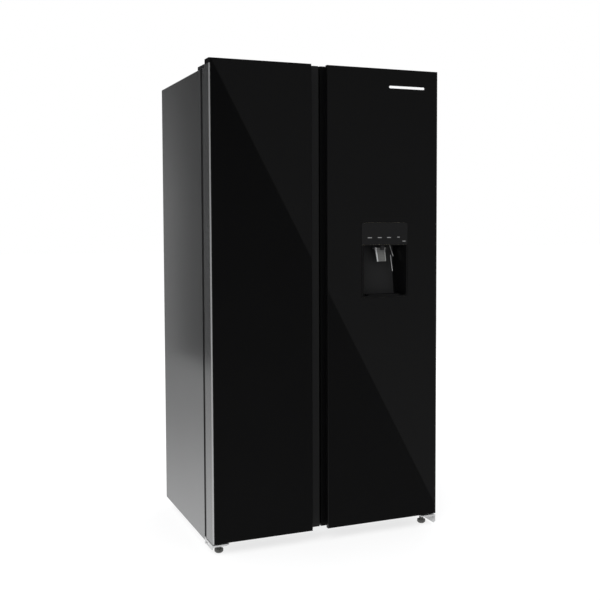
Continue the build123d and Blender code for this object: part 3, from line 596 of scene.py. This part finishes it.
# ---- Paddle ----
# The lever under the spout is a silvered clear moulding with a thick rim down both sides and a thin dished
# middle. Its left rim is painted lighter and its right rim darker, as painted light and shade. It hangs on
# a cross pin between two lugs.

def silver_recipe(start):
    ribs = start.noise(start.place((1, 1, 30)), 20, 1)
    across = start.place().along("X")
    middle = start.maths("ABSOLUTE", across - PADDLE_X) < DISH_HALF_WIDTH
    # Painted light and shade: the rim is lighter on the left side and darker on the right.
    lit_and_shaded_rim = start.blend(across > PADDLE_X, (0.46, 0.47, 0.47), (0.22, 0.22, 0.215))
    dish = start.blend(ribs, (0.085, 0.086, 0.083), (0.15, 0.15, 0.145))
    return {
        "Base Color": start.blend(middle, lit_and_shaded_rim, dish),
        "Metallic": 0.15,
        "Roughness": 0.25 + ribs * 0.1,
    }


paddle_low, paddle_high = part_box("dispenser_paddle")
PADDLE_X = (paddle_low.x + paddle_high.x) / 2
PIVOT_Y, PIVOT_Z = -0.295, 1.090
PIVOT = (PADDLE_X, PIVOT_Y, PIVOT_Z)
LEVER_HALF_WIDTH, LEVER_HALF_THICKNESS, LEVER_LENGTH, LEVER_HEAD = 0.021, 0.003, 0.052, 0.003
LEVER_TAPER, LEVER_LEAN = (0.88, 0.7, 1), 16
RIM_WIDTH, DISH_DEPTH, DISH_HALF_WIDTH = 0.005, 0.0022, 0.0150
PIN_AND_BOSS = ((0.002, 0.059), (0.004, 0.044))

paddle = open_box("paddle_lever",
                  (PADDLE_X - LEVER_HALF_WIDTH, PIVOT_Y - LEVER_HALF_THICKNESS, PIVOT_Z - LEVER_LENGTH),
                  (PADDLE_X + LEVER_HALF_WIDTH, PIVOT_Y + LEVER_HALF_THICKNESS, PIVOT_Z + LEVER_HEAD))
choose(paddle, faces=lambda middle, normal: normal.z < -0.9)
bpy.ops.transform.resize(value=LEVER_TAPER, center_override=(PADDLE_X, PIVOT_Y, PIVOT_Z - LEVER_LENGTH))
choose(paddle, faces=lambda middle, normal: normal.y < -0.9)
bpy.ops.mesh.inset(thickness=RIM_WIDTH)
bpy.ops.mesh.extrude_region_move(TRANSFORM_OT_translate={"value": (0, DISH_DEPTH, 0)})
choose(paddle, edges=lambda middle, along: True)
bpy.ops.mesh.bevel(offset=0.0007, segments=2)
bpy.ops.mesh.select_all(action="SELECT")
bpy.ops.transform.rotate(value=math.radians(LEVER_LEAN), orient_axis="X", center_override=PIVOT)
bpy.ops.object.mode_set(mode="OBJECT")
rods = []
for radius, length in PIN_AND_BOSS:
    bpy.ops.mesh.primitive_cylinder_add(vertices=32, radius=radius, depth=length, location=PIVOT,
                                        rotation=(0, math.radians(90), 0))
    rods.append(bpy.context.object)
for part in (*rods, paddle):
    part.select_set(True)
bpy.context.view_layer.objects.active = paddle
bpy.ops.object.join()
bpy.ops.object.transform_apply(location=True, rotation=True, scale=True)
bpy.ops.object.mode_set(mode="EDIT")
close_piece(paddle, finish("silver_lever", silver_recipe), "dispenser_paddle", "clear_plastic",
            "dispenser_paddle")


# ---- Highlight wires ----
# Two thin bright wires in the corner of the recess, beside its right cheek, put there as painted highlights
# for two bright glints along that corner. What they are on the real dispenser is a guess. Each runs from an
# upper end to a lower one.

WIRE_RADIUS = 0.0011
WIRE_ENDS = (((0.2832, -0.2705, 1.1005), (0.2903, -0.2852, 1.0586)),
             ((0.2846, -0.2745, 1.0620), (0.2890, -0.2830, 1.0007)))
for index, ends in enumerate(WIRE_ENDS):
    top, low = (Vector(end) for end in ends)
    bpy.ops.mesh.primitive_cylinder_add(vertices=16, radius=WIRE_RADIUS, depth=(low - top).length,
                                        location=(top + low) / 2,
                                        rotation=(low - top).to_track_quat("Z", "Y").to_euler())
    wire = bpy.context.object
    wire.name = wire.data.name = f"highlight_wire_{index + 1}"
    bpy.ops.object.transform_apply(location=True, rotation=True, scale=True)
    bpy.ops.object.mode_set(mode="EDIT")
    choose(wire, faces=lambda middle, normal: abs(normal.dot((low - top).normalized())) > 0.9)
    bpy.ops.mesh.inset(thickness=0.0004)
    bpy.ops.transform.resize(value=(1, 1, 1.01))
    # Their bright plating is a painted highlight.
    close_piece(wire, plated, "right_door", "zinc_steel")


# ---- Badge bar ----
# A plain bar of bright anodised aluminium, stuck on the glass near the top of the fridge door.

def badge_recipe(start):
    grain = start.noise(start.place((0.02, 1, 1)), 1500, 2)
    return {
        "Base Color": start.blend(grain, (0.88, 0.885, 0.89), (0.95, 0.95, 0.95)),
        "Metallic": 0.15,
        "Roughness": 0.3 + grain * 0.1,
    }


dress(finish("badge_aluminium", badge_recipe), "badge_bar")


# ---- Screws ----
# Zinc-plated pan-head screws with a cross recess: three in each upper hinge bracket, eight in the rear
# cover.

SCREW_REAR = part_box("screws")[1].y
SCREW_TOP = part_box("screws")[1].z
HEAD_RADIUS, HEAD_HEIGHT, HEAD_SEAT, SHANK_LENGTH = 0.0045, 0.0020, 0.0014, 0.009
GROOVE_SIZE = (0.0044, 0.0009, 0.0016)
BRACKET_ACROSS, BRACKET_Y = (0.393, 0.410, 0.427), -0.212
COVER_ACROSS, COVER_LEVELS = (-0.420, -0.140, 0.140, 0.420), (0.046, 0.268)


def screw(name, place, upright):
    """One screw head with its cross recess, and its shank, pointing up or to the rear."""
    bpy.ops.mesh.primitive_cylinder_add(vertices=32, radius=HEAD_RADIUS, depth=HEAD_HEIGHT)
    piece = bpy.context.object
    piece.name = piece.data.name = name
    bpy.ops.object.mode_set(mode="EDIT")
    choose(piece, faces=lambda middle, normal: normal.z > 0.9)
    bpy.ops.mesh.inset(thickness=0.0008)
    bpy.ops.transform.translate(value=(0, 0, 0.0005))
    choose(piece, faces=lambda middle, normal: normal.z < -0.9)
    bpy.ops.mesh.inset(thickness=0.0023)
    bpy.ops.mesh.extrude_region_move(TRANSFORM_OT_translate={"value": (0, 0, -SHANK_LENGTH)})
    bpy.ops.object.mode_set(mode="OBJECT")
    for turn in (0, 90):
        bpy.ops.mesh.primitive_cube_add(size=1, location=(0, 0, 0.0012),
                                        rotation=(0, 0, math.radians(turn)))
        cutter = bpy.context.object
        cutter.scale = GROOVE_SIZE
        groove = piece.modifiers.new("cross", "BOOLEAN")
        groove.object, groove.solver = cutter, "EXACT"
        bpy.context.view_layer.objects.active = piece
        bpy.ops.object.modifier_apply(modifier="cross")
        bpy.data.objects.remove(cutter)
    piece.select_set(True)
    bpy.context.view_layer.objects.active = piece
    if not upright:
        piece.rotation_euler = (math.radians(-90), 0, 0)
    piece.location = place
    bpy.ops.object.transform_apply(location=True, rotation=True, scale=True)
    bpy.ops.object.mode_set(mode="EDIT")
    return close_piece(piece, zinc, "cabinet", "zinc_steel")


heads = [((side * x, BRACKET_Y, SCREW_TOP - HEAD_SEAT), True) for side in (-1, 1) for x in BRACKET_ACROSS]
heads += [((x, SCREW_REAR - HEAD_SEAT, z), False) for z in COVER_LEVELS for x in COVER_ACROSS]
for index, (place, upright) in enumerate(heads):
    made = screw(f"screw_{index + 1}", place, upright)
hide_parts("screws")


# ---- Studio ----
# A pale floor that glows a little, an even white room, a soft key light from the front left and a weaker
# one behind. Glossy surfaces see a darker room in front, a large pale card whose straight edge crosses the
# doors, and a dark flag beside the cabinet's left side. Card and flag were set for the one camera below.

def floor_recipe(start):
    grain = start.noise(start.place(), 3, 3)
    return {
        "Base Color": start.blend(grain, (0.29, 0.29, 0.29), (0.31, 0.31, 0.31)),
        "Roughness": 0.9,
        "Specular IOR Level": 0.0,
        "Emission Color": (1.0, 1.0, 1.0),
        "Emission Strength": 0.73,
    }


bpy.ops.mesh.primitive_plane_add(size=60)
floor = bpy.context.object
floor.name = "studio_floor"
floor.data.materials.append(finish("pale_floor", floor_recipe))
floor.visible_glossy = False

scene = bpy.context.scene
scene.view_settings.view_transform = "Standard"
room = bpy.data.worlds.new("studio_room")
room.use_nodes = True
room.cycles.sampling_method = "NONE"
room.node_tree.nodes.clear()
scene.world = room
air = Flow(room.node_tree)
heading = air.node("TexCoord", output="Generated")
ahead, rise = heading.along("Y"), heading.along("Z")
beside = air.node("MapRange", {"Value": ahead, "From Min": -0.72, "From Max": -0.55,
                               "To Min": 0.0, "To Max": 1.0}, interpolation_type="SMOOTHSTEP")
LOW, HIGH = -0.40, 0.20
GLOW_STOPS = ((-0.40, 0.64), (0.20, 0.05), (-0.309, 0.53), (-0.259, 0.40), (-0.208, 0.27), (-0.12, 0.21),
              (0.02, 0.21), (0.12, 0.12))
glow = air.node("ValToRGB", {"Fac": (rise - LOW) * (1 / (HIGH - LOW))},
                stops=[((z - LOW) / (HIGH - LOW), (v, v, v)) for z, v in GLOW_STOPS])
front = air.node("MapRange", {"Value": rise, "From Min": -0.33, "From Max": 0.15,
                              "To Min": 0.100, "To Max": 0.030})
mirrored = air.blend(beside, front, glow)
glossy = air.node("LightPath", output="Is Glossy Ray")
camera_ray = air.node("LightPath", output="Is Camera Ray")
light = air.blend(camera_ray, air.blend(glossy, (0.98, 0.99, 1.0), mirrored), (1.0, 1.0, 1.0))
air.node("OutputWorld", {"Surface": air.node("Background", {"Color": light, "Strength": 1.0})})

# Each lamp has its place, the point it faces, the side of its square and its power in watts.

LAMPS = (("key_light", (-3.2, -3.4, 3.4), (0, 0, 0.8), 2.6, 120.0),
         ("rear_light", (2.8, 3.4, 3.0), (0, 0, 0.9), 2.2, 60.0))
for name, spot, aim, size, power in LAMPS:
    bpy.ops.object.light_add(type="AREA", location=spot)
    lamp = bpy.context.object
    lamp.name = name
    lamp.data.size, lamp.data.energy = size, power
    lamp.visible_glossy = name == "rear_light"
    lamp.rotation_euler = (Vector(aim) - Vector(spot)).to_track_quat("-Z", "Y").to_euler()

CARD_SIZE, CARD_TILT = 24.0, -28.18
CARD_EDGE = Vector((2.558, -6.0, 0.372))
FLAG_SIZE, FLAG_PLACE = (1.7, 1.05), (-0.8, 0.80, 1.35)


def hang_card(name, size, place, turn, low, high):
    """A card that only glossy rays see, so it lights nothing and doesn't show to the camera.

    It glows by `low` 2 m below the floor and by `high` 3 m above it.
    """
    def card_recipe(start):
        glow = start.node("MapRange", {"Value": start.place().along("Z"), "From Min": -2.0, "From Max": 3.0,
                                       "To Min": 0.0, "To Max": 1.0})
        return {
            "Base Color": (0.0, 0.0, 0.0),
            "Roughness": 1.0,
            "Specular IOR Level": 0.0,
            "Emission Color": start.blend(glow, (low, low, low), (high, high, high)),
            "Emission Strength": 1.0,
        }

    bpy.ops.mesh.primitive_plane_add(size=1, location=place, rotation=turn)
    card = bpy.context.object
    card.name, card.scale = name, (*size, 1)
    bpy.ops.object.transform_apply(location=True, rotation=True, scale=True)
    card.data.materials.append(finish(name, card_recipe))
    card.active_material.cycles.emission_sampling = "NONE"
    card.visible_camera = card.visible_diffuse = card.visible_shadow = card.visible_transmission = False


outward = Vector((math.cos(math.radians(CARD_TILT)), 0, -math.sin(math.radians(CARD_TILT))))
hang_card("front_card", (CARD_SIZE, CARD_SIZE), CARD_EDGE + outward * CARD_SIZE / 2,
          (math.radians(90), math.radians(CARD_TILT), 0), 0.20, 0.11)
hang_card("side_flag", FLAG_SIZE, FLAG_PLACE, (0, math.radians(90), 0), 0.05, 0.01)


# ---- Camera ----
# It stands in front and to the left, at chest height, level but for a slight downward tilt.

CAMERA_PLACE = Vector((-1.3724, -3.4023, 1.1996))
YAW, PITCH, ROLL = 22.258, -3.154, -0.228
LENS, SENSOR_WIDTH, SHIFT_UP = 54.857, 36, -0.05
bpy.ops.object.camera_add(location=CAMERA_PLACE)
camera = bpy.context.object
camera.name = "camera"
camera.data.lens, camera.data.sensor_width, camera.data.shift_y = LENS, SENSOR_WIDTH, SHIFT_UP
turn = Euler((math.radians(90 + PITCH), 0, math.radians(-YAW))).to_matrix() @ Matrix.Rotation(
    math.radians(ROLL), 3, "Z")
camera.rotation_euler = turn.to_euler()
camera.data.clip_end = 200
scene.camera = camera
